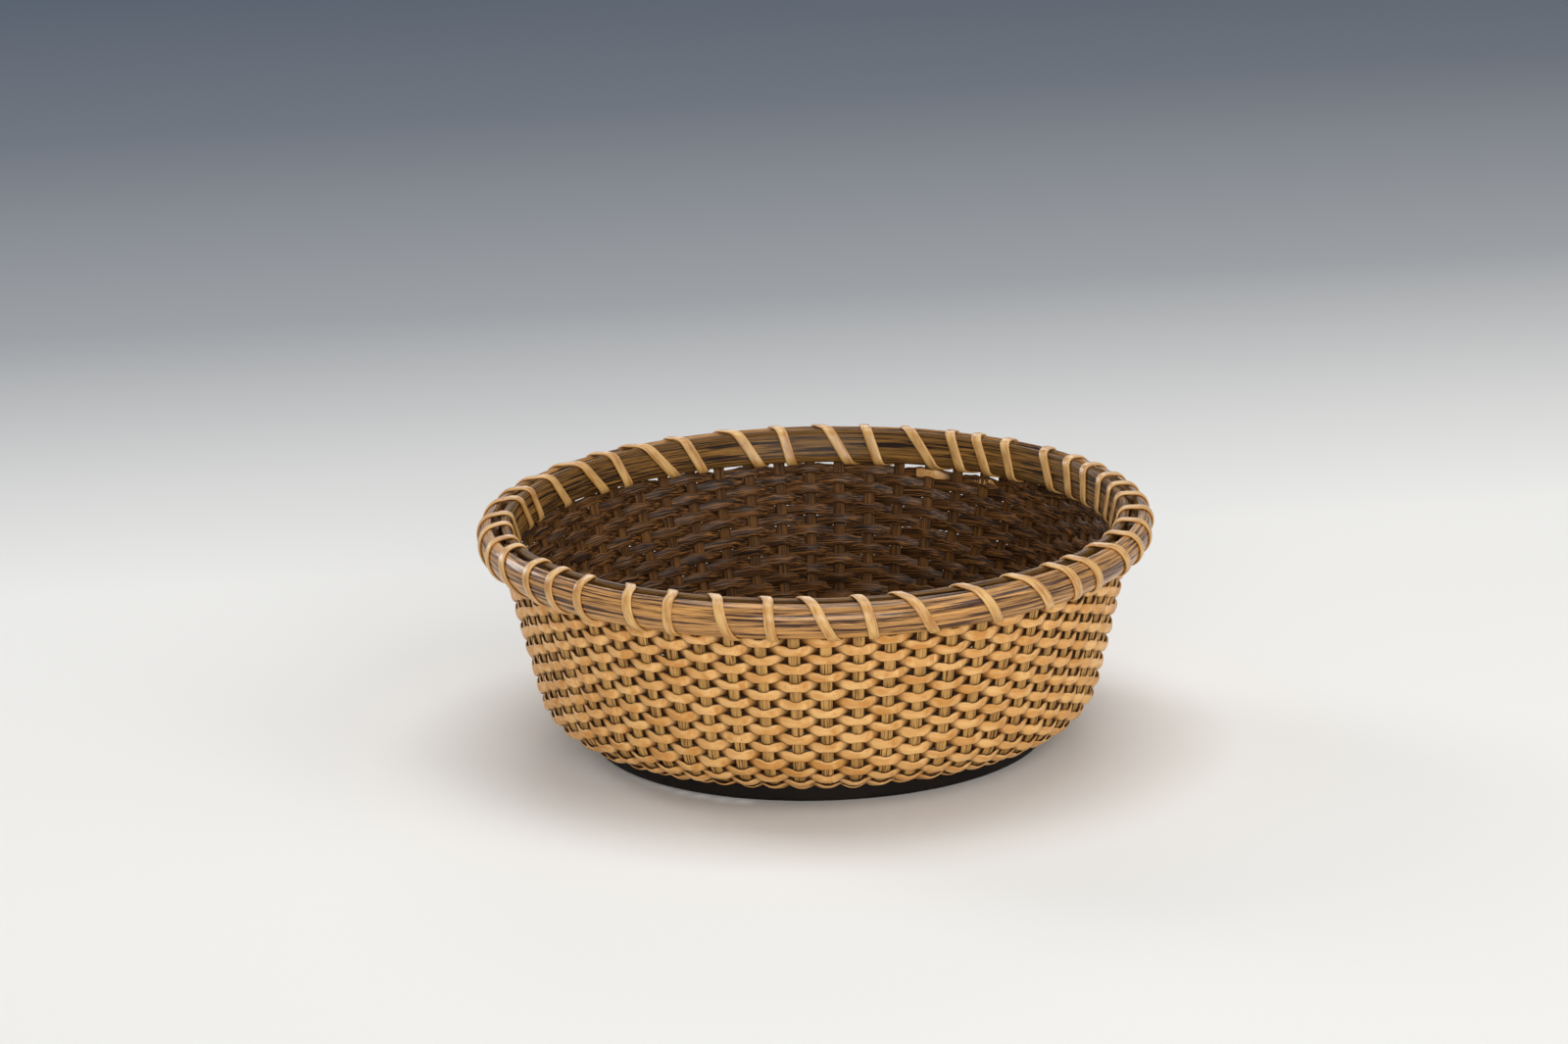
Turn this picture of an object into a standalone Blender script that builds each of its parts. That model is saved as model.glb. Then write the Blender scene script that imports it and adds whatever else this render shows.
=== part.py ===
"""Round berry basket: flat staves set in the grooved edge of a turned wooden base, one long cane
woven over and under them in a climbing spiral, and a pair of hoops lashed round the rim.

Metres, +Z up. The origin is the centre of the base's underside, and the front is -Y.
The wall is described once, as a line in the (radius, height) plane that runs flat out of the
base, turns up through a bend and then leans straight out to the rim. "run" is the distance
along that line from the start of the bend, and "out" is the distance from it towards the
outside. Staves, cane, hoops and lashing all take their places from it.
"""
import math

import bmesh
import bpy
import numpy as np
from mathutils import Matrix, Vector

PART_NAME = "berry_basket"

# Whole basket
RIM_DIAMETER = 0.1300
HEIGHT = 0.0450
CLEARANCE = 0.0003

# Turned base
BASE_DIAMETER = 0.0880
LOWER_LIP = 0.0035
UPPER_LIP = 0.0021
GROOVE_DEPTH = 0.0055
EDGE_ROUND = 0.0008
DISH_DEPTH = 0.0005
DISH_MARGIN = 0.0060
BASE_STEPS = 48

# Staves: an odd number, so that each row passes over where the last one passed under
STAVE_COUNT = 61
STAVE_WIDTH = 0.0022
STAVE_THICKNESS = 0.0009
STAVE_FLAT_SHARE = 0.60
STAVE_BEND_RADIUS = 0.0094
STAVE_TOP_DROP = 0.0005
BEND_STEPS = 4
FRONT_STAVE_ANGLE = math.radians(1.2)

# They were set by eye: those at the back stand this much further round than even steps
STAVE_DRIFT = math.radians(2.4)

# The first staves to go in are driven past the groove's floor and glued, one in every ten
GLUED_STAVES = 6
GLUE_BITE = 0.0006

# Woven cane: the rows are drawn a little apart, where the real cane is pressed together
CANE_WIDTH = 0.0015
CANE_THICKNESS = 0.0008
CANE_FACETS = 2
ROW_GAP = 0.0003
WEAVE_PLAY = 0.00012
WEAVE_END_ANGLE = math.radians(47)

# Towards the rim the spiral turns into level rows, which step up just past the weave's end
LEVEL_ROWS = 12
STEP_UP_SHARE = 0.17

# Rim hoops
OUTER_HOOP_HEIGHT = 0.0071
OUTER_HOOP_DEPTH = 0.0034
OUTER_HOOP_FACETS = 4
INNER_HOOP_HEIGHT = 0.0066
INNER_HOOP_THICKNESS = 0.0018
HOOP_STEPS = 64

# Lashing round both hoops. It dives through the gap after each stave, but not through these.
LASHING_START_GAP = 22
PASSED_GAPS = (2, 4, 6, 10, 14, 21, 26, 29, 32, 35, 38, 40, 43, 46, 49, 54, 57, 60)
LASHING_WIDTH = 0.0024
LASHING_THICKNESS = 0.0007
LASHING_FACETS = 3

# Merging distance for turned shapes
MERGE_DISTANCE = 0.00001

# Derived sizes
BASE_RADIUS = BASE_DIAMETER / 2
GROOVE_HEIGHT = STAVE_THICKNESS + 2 * CLEARANCE
GROOVE_MIDDLE = LOWER_LIP + GROOVE_HEIGHT / 2
BASE_THICKNESS = LOWER_LIP + GROOVE_HEIGHT + UPPER_LIP
STAVE_STEP = 2 * math.pi / STAVE_COUNT
ROW_PITCH = CANE_WIDTH + ROW_GAP

# The hoops sit this far from the wall line, with the staves between them
HOOP_SEAT = STAVE_THICKNESS / 2 + CLEARANCE

# The bend's centre, the middle of the rim, and the lean of the straight wall between them
BEND_START_RADIUS = BASE_RADIUS + CLEARANCE
BEND_CENTRE = Vector((BEND_START_RADIUS, GROOVE_MIDDLE + STAVE_BEND_RADIUS))
RIM_MIDDLE = Vector((RIM_DIAMETER / 2 - OUTER_HOOP_DEPTH - HOOP_SEAT, HEIGHT - OUTER_HOOP_HEIGHT / 2))
SPAN = RIM_MIDDLE - BEND_CENTRE
WALL_LEAN = math.atan2(SPAN.x, SPAN.y) - math.asin(STAVE_BEND_RADIUS / SPAN.length)
BEND_RUN = STAVE_BEND_RADIUS * (math.pi / 2 - WALL_LEAN)
RIM_RUN = BEND_RUN + math.sqrt(SPAN.length_squared - STAVE_BEND_RADIUS ** 2)

# The lashing's middle keeps this distance from the hoops that it goes round
LASHING_SEAT = CLEARANCE + LASHING_THICKNESS / 2


def wall_frame(run):
    """The wall line's point at a run, its upward direction and its outward direction."""
    if run <= 0:
        return Vector((BEND_START_RADIUS + run, GROOVE_MIDDLE)), Vector((1, 0)), Vector((0, -1))
    turn = min(run, BEND_RUN) / STAVE_BEND_RADIUS
    along = Vector((math.cos(turn), math.sin(turn)))
    out = Vector((math.sin(turn), -math.cos(turn)))
    point = BEND_CENTRE + STAVE_BEND_RADIUS * out
    return point + along * max(0, run - BEND_RUN), along, out


def place(run, out):
    """The (radius, height) of a point beside the wall line."""
    point, _, outward = wall_frame(run)
    return point + outward * out


def spin(point, angle):
    """A (radius, height) point turned about the basket's axis."""
    return Vector((point.x * math.cos(angle), point.x * math.sin(angle), point.y))


def domed_section(width, thickness, facets):
    """A strip's section, flat on one side and domed on the other, centred on its thickness."""
    points = []
    for index in range(facets + 1):
        turn = math.pi * index / facets
        points.append((width / 2 * math.cos(turn), thickness * math.sin(turn) - thickness / 2))
    return points


def stave_section():
    """A flat rod's section, thinned towards both edges."""
    edge = STAVE_WIDTH / 2
    flat = edge * STAVE_FLAT_SHARE
    face = STAVE_THICKNESS / 2
    return [(edge, 0), (flat, face), (-flat, face), (-edge, 0), (-flat, -face), (flat, -face)]


def sweep(name, section, frames):
    """One solid made by extruding a section through frames of (centre, across, facing).

    A strip keeps its broad side against the wall all the way, which the twist of a curve object
    doesn't do, so each step of the extrusion is set on a frame of its own.
    """
    def ring(frame):
        centre, across, facing = frame
        return [centre + across * x + facing * y for x, y in section]

    mesh = bmesh.new()
    start = mesh.faces.new([mesh.verts.new(point) for point in ring(frames[0])])
    face = start
    for frame in frames[1:]:
        grown = bmesh.ops.extrude_face_region(mesh, geom=[face])["geom"]
        if face is not start:
            mesh.faces.remove(face)
        face = next(item for item in grown if isinstance(item, bmesh.types.BMFace))
        for loop, point in zip(face.loops, ring(frame)):
            loop.vert.co = point
    bmesh.ops.recalc_face_normals(mesh, faces=mesh.faces)
    data = bpy.data.meshes.new(name)
    mesh.to_mesh(data)
    mesh.free()
    return data


def turned(name, profile, steps, closed):
    """A turned solid: a (radius, height) profile carried round the axis by a Screw modifier."""
    mesh = bmesh.new()
    verts = [mesh.verts.new((point[0], 0, point[1])) for point in profile]
    ends = verts[1:] + verts[:1] if closed else verts[1:]
    for start, end in zip(verts, ends):
        mesh.edges.new((start, end))
    data = bpy.data.meshes.new(name)
    mesh.to_mesh(data)
    mesh.free()
    piece = bpy.data.objects.new(name, data)
    screw = piece.modifiers.new("Turn", "SCREW")
    screw.steps = steps
    screw.render_steps = steps
    screw.use_merge_vertices = True
    screw.merge_threshold = MERGE_DISTANCE
    return piece


def finish(piece, collection, material, parent):
    """Put a piece in the part's collection, under its empty, with its material."""
    collection.objects.link(piece)
    piece.parent = parent
    piece.data.materials.clear()
    piece.data.materials.append(material)
    piece.data.shade_smooth()
    return piece


def make_material(name, colour, roughness):
    material = bpy.data.materials.new(name)
    material.use_nodes = True
    shader = material.node_tree.nodes["Principled BSDF"]
    shader.inputs["Base Color"].default_value = (*colour, 1)
    shader.inputs["Roughness"].default_value = roughness
    shader.inputs["Metallic"].default_value = 0
    return material


def base_profile():
    """The base's outline, from the middle of its top, down its grooved edge, to the underside."""
    floor = BASE_RADIUS - GROOVE_DEPTH
    groove_low = LOWER_LIP
    groove_high = LOWER_LIP + GROOVE_HEIGHT
    top_round = min(EDGE_ROUND, UPPER_LIP / 2)
    low_round = min(EDGE_ROUND, LOWER_LIP / 2)
    dish = BASE_RADIUS - DISH_MARGIN
    return [
        (0, BASE_THICKNESS - DISH_DEPTH),
        (dish - DISH_DEPTH, BASE_THICKNESS - DISH_DEPTH),
        (dish, BASE_THICKNESS),
        (BASE_RADIUS - top_round, BASE_THICKNESS),
        (BASE_RADIUS, BASE_THICKNESS - top_round),
        (BASE_RADIUS, groove_high),
        (floor, groove_high),
        (floor, groove_low),
        (BASE_RADIUS, groove_low),
        (BASE_RADIUS, low_round),
        (BASE_RADIUS - low_round, 0),
        (0, 0),
    ]


def stave_frames(start_run):
    """Frames along one stave: out of the groove, round the bend and up to the rim."""
    runs = [start_run]
    runs += [BEND_RUN * step / BEND_STEPS for step in range(BEND_STEPS + 1)]
    runs.append(stave_top_run())
    frames = []
    for run in runs:
        point, _, outward = wall_frame(run)
        frames.append((spin(point, 0), Vector((0, 1, 0)), spin(outward, 0)))
    return frames


def stave_top_run():
    """The staves are trimmed a little below the outer hoop's top."""
    return RIM_RUN + OUTER_HOOP_HEIGHT / 2 - STAVE_TOP_DROP


def stave_angle(index):
    """Stave 0 is the one nearest the front, and they count round anticlockwise from above."""
    even = index * STAVE_STEP
    return -math.pi / 2 + FRONT_STAVE_ANGLE + even + STAVE_DRIFT * (1 - math.cos(even)) / 2


def weave_swing(run):
    """How far the cane stands off the wall line as it passes a stave.

    It runs straight from one stave to the next, so where the staves are close it swings wider
    to clear the shoulders of the one that it passes.
    """
    spacing = place(run, 0).x * STAVE_STEP
    shoulder = STAVE_WIDTH / 2 * STAVE_FLAT_SHARE
    touching = STAVE_THICKNESS / 2 + CANE_THICKNESS / 2 + WEAVE_PLAY
    return touching / (1 - 2 * shoulder / spacing)


def smooth_step(share):
    share = min(1, max(0, share))
    return share * share * (3 - 2 * share)


def stepped_turns(turns):
    """Turns before the weave's end, as level rows that step up in the first part of each turn."""
    row = math.floor(turns)
    return row + smooth_step((turns - row) / STEP_UP_SHARE)


def weave_climb(turns):
    """How far the cane lies above its last turn: a steady spiral lower down, and level rows above."""
    level = smooth_step(1 + turns / LEVEL_ROWS)
    return ROW_PITCH * (turns + (stepped_turns(turns) - turns) * level)


def weave_frames():
    """Frames of the cane, one at each stave that it passes, on alternate sides."""
    first_run = CLEARANCE + CANE_WIDTH / 2
    last_run = RIM_RUN + lashing_foot() - LASHING_SEAT - CANE_WIDTH / 2
    passes = int((last_run - first_run) / ROW_PITCH * STAVE_COUNT)
    end_index = round((WEAVE_END_ANGLE - stave_angle(0)) / STAVE_STEP)
    frames = []
    for index in range(passes + 1):
        run = last_run + weave_climb((index - passes) / STAVE_COUNT)
        side = 1 if index % 2 else -1
        angle = stave_angle(end_index - passes + index)
        _, along, outward = wall_frame(run)
        centre = spin(place(run, side * weave_swing(run)), angle)
        frames.append((centre, spin(along, angle), spin(outward, angle)))
    return frames


def outer_hoop_profile():
    """A half-round rod, flat against the staves."""
    points = []
    for index in range(OUTER_HOOP_FACETS + 1):
        turn = math.pi / 2 - math.pi * index / OUTER_HOOP_FACETS
        points.append(rim_point(OUTER_HOOP_HEIGHT / 2 * math.sin(turn),
                                HOOP_SEAT + OUTER_HOOP_DEPTH * math.cos(turn)))
    return points


def rim_point(up, out):
    """A point by the rim, measured from the middle of the outer hoop's flat side."""
    return place(RIM_RUN + up, out)


def inner_hoop_middle():
    """The inner hoop is set down the wall until both hoops' tops are level."""
    lean_rise = (HOOP_SEAT + INNER_HOOP_THICKNESS) * math.sin(WALL_LEAN)
    return (OUTER_HOOP_HEIGHT / 2 - lean_rise) / math.cos(WALL_LEAN) - INNER_HOOP_HEIGHT / 2


def inner_hoop_profile():
    """A flat strip against the inside of the staves."""
    middle = inner_hoop_middle()
    top = middle + INNER_HOOP_HEIGHT / 2
    foot = middle - INNER_HOOP_HEIGHT / 2
    face = -HOOP_SEAT
    back = face - INNER_HOOP_THICKNESS
    return [rim_point(top, back), rim_point(top, face), rim_point(foot, face), rim_point(foot, back)]


def lashing_foot():
    """How far the lashing's middle lies up from the rim's middle, as it dives below both hoops."""
    lowest = min(-OUTER_HOOP_HEIGHT / 2, inner_hoop_middle() - INNER_HOOP_HEIGHT / 2)
    return lowest - LASHING_SEAT


def lashing_loop():
    """One turn of lashing in the wall's own (up, out) plane, with the way that it faces.

    It starts below the hoops, in the gap between two staves, then goes up the inside, over the
    top and down the outside.
    """
    top = inner_hoop_middle() + INNER_HOOP_HEIGHT / 2 + LASHING_SEAT
    foot = lashing_foot()
    back = -HOOP_SEAT - INNER_HOOP_THICKNESS - LASHING_SEAT
    loop = [(foot, 0, -1, 0), (foot, back, -1, -1), (top, back, 1, -1)]
    dome_up = OUTER_HOOP_HEIGHT / 2 + LASHING_SEAT
    dome_out = OUTER_HOOP_DEPTH + LASHING_SEAT
    for index in range(OUTER_HOOP_FACETS + 1):
        turn = math.pi / 2 - math.pi * index / OUTER_HOOP_FACETS
        up = math.sin(turn)
        out = math.cos(turn)
        loop.append((dome_up * up, HOOP_SEAT + dome_out * out, up, out))
    return loop


def lashing_gaps():
    """The gaps between staves that the lashing goes through, and the first one again at its end."""
    last = LASHING_START_GAP + STAVE_COUNT
    gaps = [gap for gap in range(LASHING_START_GAP, last) if gap % STAVE_COUNT not in PASSED_GAPS]
    return gaps + [last]


def lashing_frames():
    """Frames of the lashing, which dives between two staves once in each turn."""
    loop = lashing_loop()
    places = [Vector(point[:2]) for point in loop]
    steps = [(end - start).length for start, end in zip(places, places[1:] + places[:1])]
    whole = sum(steps)
    frames = []
    feet = [stave_angle(0.5 + gap) for gap in lashing_gaps()]
    for here, following in zip(feet, feet[1:]):
        travelled = 0
        for (up, out, face_up, face_out), step in zip(loop, steps):
            angle = here + (following - here) * travelled / whole
            travelled += step
            _, along, outward = wall_frame(RIM_RUN)
            facing = (along * face_up + outward * face_out).normalized()
            centre = spin(rim_point(up, out), angle)
            across = Vector((-math.sin(angle), math.cos(angle), 0))
            frames.append((centre, across, spin(facing, angle)))
    return frames


def least_self_gap(frames, width, turn):
    """The least gap between one strand's edges, measured at the ends and middles of stretches.

    Frames less than a turn apart belong together and aren't set against each other, and neither
    are the first and last turns, where a strand that goes all the way round meets its own end.
    """
    ends = np.array([frame[0] for frame in frames])
    middles = (ends[1:] + ends[:-1]) / 2
    centres = np.concatenate([ends[:1]] + [np.stack(pair) for pair in zip(middles, ends[1:])])
    apart = 2 * turn
    nearest = math.inf
    for index in range(len(centres) - apart):
        last = min(len(centres), index + len(centres) - apart)
        distances = np.linalg.norm(centres[index + apart:last] - centres[index], axis=1)
        nearest = min(nearest, float(distances.min(initial=math.inf)))
    return nearest - width


def mesh_copy(piece, collection, material, parent):
    """A turned piece as a plain mesh, so that others can be joined to it."""
    bpy.context.view_layer.update()
    evaluated = piece.evaluated_get(bpy.context.evaluated_depsgraph_get())
    data = bpy.data.meshes.new_from_object(evaluated)
    name = piece.name
    bpy.data.objects.remove(piece)
    return finish(bpy.data.objects.new(name, data), collection, material, parent)


def join(piece, other):
    """Add an Exact union with another object."""
    union = piece.modifiers.new("Join " + other.name, "BOOLEAN")
    union.operation = "UNION"
    union.solver = "EXACT"
    union.object = other


def build_base(collection, guides, material, parent):
    """The turned base with the few staves that are glued fast in its groove."""
    turned_base = turned("turned_base", base_profile(), BASE_STEPS, closed=False)
    finish(turned_base, collection, material, parent)
    base = mesh_copy(turned_base, collection, material, parent)
    bite = sweep("glued_stave", stave_section(), stave_frames(-CLEARANCE - GROOVE_DEPTH - GLUE_BITE))
    for index in glued_stave_numbers():
        guide = bpy.data.objects.new(f"glued_stave_{index:02d}", bite)
        guides.objects.link(guide)
        guide.rotation_euler.z = stave_angle(index)
        guide.parent = parent
        guide.hide_render = True
        guide.display_type = "WIRE"
        join(base, guide)
    return base


def glued_stave_numbers():
    """The glued staves, spread evenly round the base."""
    return [round(index * STAVE_COUNT / GLUED_STAVES) for index in range(GLUED_STAVES)]


def build_staves(collection, material, parent):
    """The loose-set staves, all alike, standing in the groove with a little room at its floor."""
    data = sweep("stave", stave_section(), stave_frames(-GROOVE_DEPTH))
    glued = glued_stave_numbers()
    for index in range(STAVE_COUNT):
        if index in glued:
            continue
        stave = bpy.data.objects.new(f"stave_{index:02d}", data)
        stave.rotation_euler.z = stave_angle(index)
        finish(stave, collection, material, parent)


def build_weave(collection, material, parent):
    frames = weave_frames()
    section = domed_section(CANE_WIDTH, CANE_THICKNESS, CANE_FACETS)
    data = sweep("woven_cane", section, frames)
    finish(bpy.data.objects.new("woven_cane", data), collection, material, parent)
    gap = least_self_gap(frames, CANE_WIDTH, STAVE_COUNT // 2)
    print(f"woven cane: {len(frames)} passes, least gap to itself {gap * 1000:.2f} mm")


def build_hoops(collection, outer_material, inner_material, parent):
    outer = turned("outer_hoop", outer_hoop_profile(), HOOP_STEPS, closed=True)
    inner = turned("inner_hoop", inner_hoop_profile(), HOOP_STEPS, closed=True)
    finish(outer, collection, outer_material, parent)
    finish(inner, collection, inner_material, parent)


def build_lashing(collection, material, parent):
    frames = lashing_frames()
    section = domed_section(LASHING_WIDTH, LASHING_THICKNESS, LASHING_FACETS)
    data = sweep("rim_lashing", section, frames)
    finish(bpy.data.objects.new("rim_lashing", data), collection, material, parent)
    gap = least_self_gap(frames, LASHING_WIDTH, len(lashing_loop()) - 1)
    print(f"lashing: {len(lashing_gaps()) - 1} turns, least gap to itself {gap * 1000:.2f} mm")


def clear_scene():
    for piece in list(bpy.data.objects):
        bpy.data.objects.remove(piece)


def main():
    clear_scene()
    collection = bpy.data.collections.new(PART_NAME)
    guides = bpy.data.collections.new(PART_NAME + "_cutters")
    for group in (collection, guides):
        bpy.context.scene.collection.children.link(group)
    parent = bpy.data.objects.new("basket", None)
    collection.objects.link(parent)

    dark_wood = make_material("stained_base_wood", (0.012, 0.010, 0.009), 0.60)
    rod = make_material("flat_rattan_rod", (0.52, 0.36, 0.19), 0.55)
    cane = make_material("woven_cane", (0.62, 0.41, 0.19), 0.42)
    dark_rod = make_material("half_round_rod", (0.33, 0.20, 0.11), 0.38)
    inner_rod = make_material("inner_hoop_strip", (0.20, 0.13, 0.07), 0.48)
    binding = make_material("binding_cane", (0.70, 0.47, 0.22), 0.38)

    build_base(collection, guides, dark_wood, parent)
    build_staves(collection, rod, parent)
    build_weave(collection, cane, parent)
    build_hoops(collection, dark_rod, inner_rod, parent)
    build_lashing(collection, binding, parent)


main()
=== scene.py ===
"""The finished berry basket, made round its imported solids.

Flat staves stand in the grooved edge of a dark turned base, honey-coloured cane is woven over and
under them with its stained pith side inwards, and two hoops are lashed round the rim.

Metres, +Z up. The origin is the centre of the base's underside, and the front is -Y. The wall is
a line in the (radius, height) plane: "run" is the distance along it from where the staves leave
the base, and "out" is the distance from it towards the outside.
"""
import math
import random
from typing import NamedTuple

import bmesh
import bpy
from bpy.props import FloatProperty, FloatVectorProperty, PointerProperty
from mathutils import Matrix, Quaternion, Vector, noise


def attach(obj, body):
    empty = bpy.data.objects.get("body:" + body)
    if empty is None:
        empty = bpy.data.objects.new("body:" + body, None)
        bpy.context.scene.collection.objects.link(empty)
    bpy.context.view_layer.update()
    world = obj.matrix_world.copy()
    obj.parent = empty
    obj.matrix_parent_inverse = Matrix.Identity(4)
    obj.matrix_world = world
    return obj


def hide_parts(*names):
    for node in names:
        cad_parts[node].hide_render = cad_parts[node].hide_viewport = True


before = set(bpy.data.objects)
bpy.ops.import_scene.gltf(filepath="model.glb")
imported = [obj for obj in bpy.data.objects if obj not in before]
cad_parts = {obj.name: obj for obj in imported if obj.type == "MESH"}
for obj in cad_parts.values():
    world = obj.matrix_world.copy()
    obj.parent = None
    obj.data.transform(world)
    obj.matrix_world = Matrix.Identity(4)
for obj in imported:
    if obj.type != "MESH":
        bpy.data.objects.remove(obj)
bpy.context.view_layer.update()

bl_info = {
    "name": "Woven berry basket",
    "version": (1, 0, 0),
    "blender": (4, 5, 0),
    "location": "3D View > Sidebar > Basket",
    "description": "Makes the basket's base, staves, weave, hoops and lashing, and a stage for it",
    "category": "Object",
}

# The basket's own sizes, as its solids have them
RIM_DIAMETER = 0.1300
HEIGHT = 0.0450
CLEARANCE = 0.0003
BASE_DIAMETER = 0.0880
LOWER_LIP = 0.0035
UPPER_LIP = 0.0021
GROOVE_HEIGHT = 0.0015
GROOVE_DEPTH = 0.0055
STAVE_COUNT = 61
STAVE_GAP = 0.0009
STAVE_BEND_RADIUS = 0.0094
STAVE_TOP_DROP = 0.0010
FRONT_STAVE_ANGLE = math.radians(1.2)
STAVE_DRIFT = math.radians(2.4)
SOLID_CANE_WIDTH = 0.0015
WEAVE_END_ANGLE = math.radians(47)
WEAVE_PASSES = 1246
LEVEL_ROWS = 12
STEP_UP_BEFORE_SHARE = 0.09
STEP_UP_AFTER_SHARE = 0.09
TAIL_RISE_SHARE = 0.45
OUTER_HOOP_HEIGHT = 0.0071
OUTER_HOOP_DEPTH = 0.0034
INNER_HOOP_HEIGHT = 0.0066
INNER_HOOP_THICKNESS = 0.0018
LASHING_START_GAP = 22
PASSED_GAPS = (2, 4, 6, 10, 14, 21, 26, 29, 32, 35, 38, 40, 43, 46, 49, 54, 57, 60)

# The wall line, worked out from them
BASE_RADIUS = BASE_DIAMETER / 2
GROOVE_MIDDLE = LOWER_LIP + GROOVE_HEIGHT / 2
BASE_THICKNESS = LOWER_LIP + GROOVE_HEIGHT + UPPER_LIP
STAVE_STEP = 2 * math.pi / STAVE_COUNT
HOOP_SEAT = STAVE_GAP / 2 + CLEARANCE
BEND_START_RADIUS = BASE_RADIUS + CLEARANCE
BEND_CENTRE = Vector((BEND_START_RADIUS, GROOVE_MIDDLE + STAVE_BEND_RADIUS))
RIM_MIDDLE = Vector((RIM_DIAMETER / 2 - OUTER_HOOP_DEPTH - HOOP_SEAT, HEIGHT - OUTER_HOOP_HEIGHT / 2))
SPAN = RIM_MIDDLE - BEND_CENTRE
WALL_LEAN = math.atan2(SPAN.x, SPAN.y) - math.asin(STAVE_BEND_RADIUS / SPAN.length)
BEND_RUN = STAVE_BEND_RADIUS * (math.pi / 2 - WALL_LEAN)
RIM_RUN = BEND_RUN + math.sqrt(SPAN.length_squared - STAVE_BEND_RADIUS ** 2)

# How unevenly the hand-made parts lie: spreads in metres, radians or shares of the size
STAVE_SEED = 7
STAVE_SHIFT_SPREAD = 0.00012
STAVE_TURN_SPREAD = math.radians(5)
CANE_SEED = 23
CANE_RISE_SPREAD = 0.00006
CANE_TILT_SPREAD = math.radians(5)
CANE_WIDTH_SPREAD_SHARE = 0.06
CANE_SWING_SPREAD_SHARE = 0.07
ROW_WAVE_HEIGHT = 0.00022
ROW_WAVE_LENGTH = 0.016
LASHING_SEED = 5
LASHING_SHIFT_SPREAD = 0.00015
HOOP_WAVE_SHARE = 0.05
HOOP_WAVE_LENGTH = 0.012


def screen_colour(red, green, blue):
    """A colour as it reads on screen, 0 to 255, turned into the linear values that shaders take."""
    def linear(value):
        share = value / 255
        return share / 12.92 if share <= 0.04045 else ((share + 0.055) / 1.055) ** 2.4
    return linear(red), linear(green), linear(blue)


def length_property(name, description, default):
    return FloatProperty(name=name, description=description, default=default, min=0,
                         unit="LENGTH", subtype="DISTANCE", precision=5)


def colour_property(name, description, *screen):
    return FloatVectorProperty(name=name, description=description, default=screen_colour(*screen),
                               size=3, min=0, max=1, subtype="COLOR")


def share_property(name, description, default):
    return FloatProperty(name=name, description=description, default=default, min=0, max=2,
                         subtype="FACTOR")


class BasketBaseSettings(bpy.types.PropertyGroup):
    """The turned base."""
    ring_depth: length_property("Ring depth", "Depth of the turning marks in the base", 0.00012)
    colour: colour_property("Wood", "The base's dark stain", 20, 16, 13)
    worn: colour_property("Worn edge", "The stain where handling thinned it", 40, 29, 20)


class BasketStaveSettings(bpy.types.PropertyGroup):
    """The flat rods that the cane is woven round."""
    width: length_property("Width", "Width of a stave", 0.0023)
    thickness: length_property("Thickness", "Thickness of a stave", 0.00076)
    colour: colour_property("Rod", "The rod's own colour", 204, 158, 92)
    # The inside colour makes each stave darker on its inner side.
    inside: colour_property("Inside", "Its stained inner side", 124, 82, 38)
    pores: colour_property("Pores", "The dark lines along it", 94, 58, 24)


class BasketCaneSettings(bpy.types.PropertyGroup):
    """The weaving cane."""
    width: length_property("Width", "Width of the cane where it passes over a stave", 0.00160)
    crossing: share_property("Crossing width", "How wide it is between staves, as a share of that", 1.36)
    thickness: length_property("Thickness", "Thickness of the cane", 0.00064)
    swing: length_property("Swing", "How far the cane's middle stands off the wall at a stave", 0.00078)
    bark: colour_property("Bark side", "The smooth side, facing outwards", 230, 182, 116)
    bark_dark: colour_property("Bark shade", "Darker places on it", 196, 136, 66)
    pith: colour_property("Pith side", "The stained side, facing inwards", 30, 14, 4)
    pith_light: colour_property("Pith fibres", "Lighter fibres in it", 184, 124, 64)
    # Recess colour: painted shade, for the shade where the cane goes in between the staves.
    recess_shade: colour_property("Recess", "Stain that stayed where it passes between staves", 66, 34, 6)


class BasketHoopSettings(bpy.types.PropertyGroup):
    """The two hoops of the rim."""
    outer_light: colour_property("Outer light", "The outer hoop's light grain", 218, 160, 90)
    outer_dark: colour_property("Outer dark", "The outer hoop's dark streaks", 58, 27, 6)
    inner_light: colour_property("Inner light", "The inner hoop's light grain", 150, 106, 48)
    inner_dark: colour_property("Inner dark", "The inner hoop's dark streaks", 34, 16, 3)


class BasketLashingSettings(bpy.types.PropertyGroup):
    """The binding cane round the rim."""
    width: length_property("Width", "Width of the binding cane", 0.00204)
    thickness: length_property("Thickness", "Thickness of the binding cane", 0.00052)
    colour: colour_property("Cane", "The binding cane's own colour", 212, 170, 104)
    shade: colour_property("Shade", "Darker places on it", 172, 116, 52)


class BasketStageSettings(bpy.types.PropertyGroup):
    """Floor, lamps and camera."""
    floor: colour_property("Floor", "Colour of the floor by the basket", 234, 234, 232)
    # The far colour is painted shade: the grey of the floor further off, where the light falls off.
    far: colour_property("Far floor", "Colour of the floor at the top of the picture", 80, 90, 104)
    sky: colour_property("Sky", "What shows above the floor, also in reflections", 190, 196, 204)
    sky_light: share_property("Sky light", "How strongly the sky lights the basket", 0.30)
    lamp_light: share_property("Lamp light", "How strongly the lamps do", 1.0)
    lens: FloatProperty(name="Lens", description="Focal length of the camera in millimetres",
                        default=178.2, min=1)


class Station(NamedTuple):
    """One place along a strip: its middle, the strip's broad direction and the way it faces."""
    centre: Vector
    across: Vector
    facing: Vector
    broad: float
    thick: float
    along: float
    strand: float
    depth: float = 0


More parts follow.
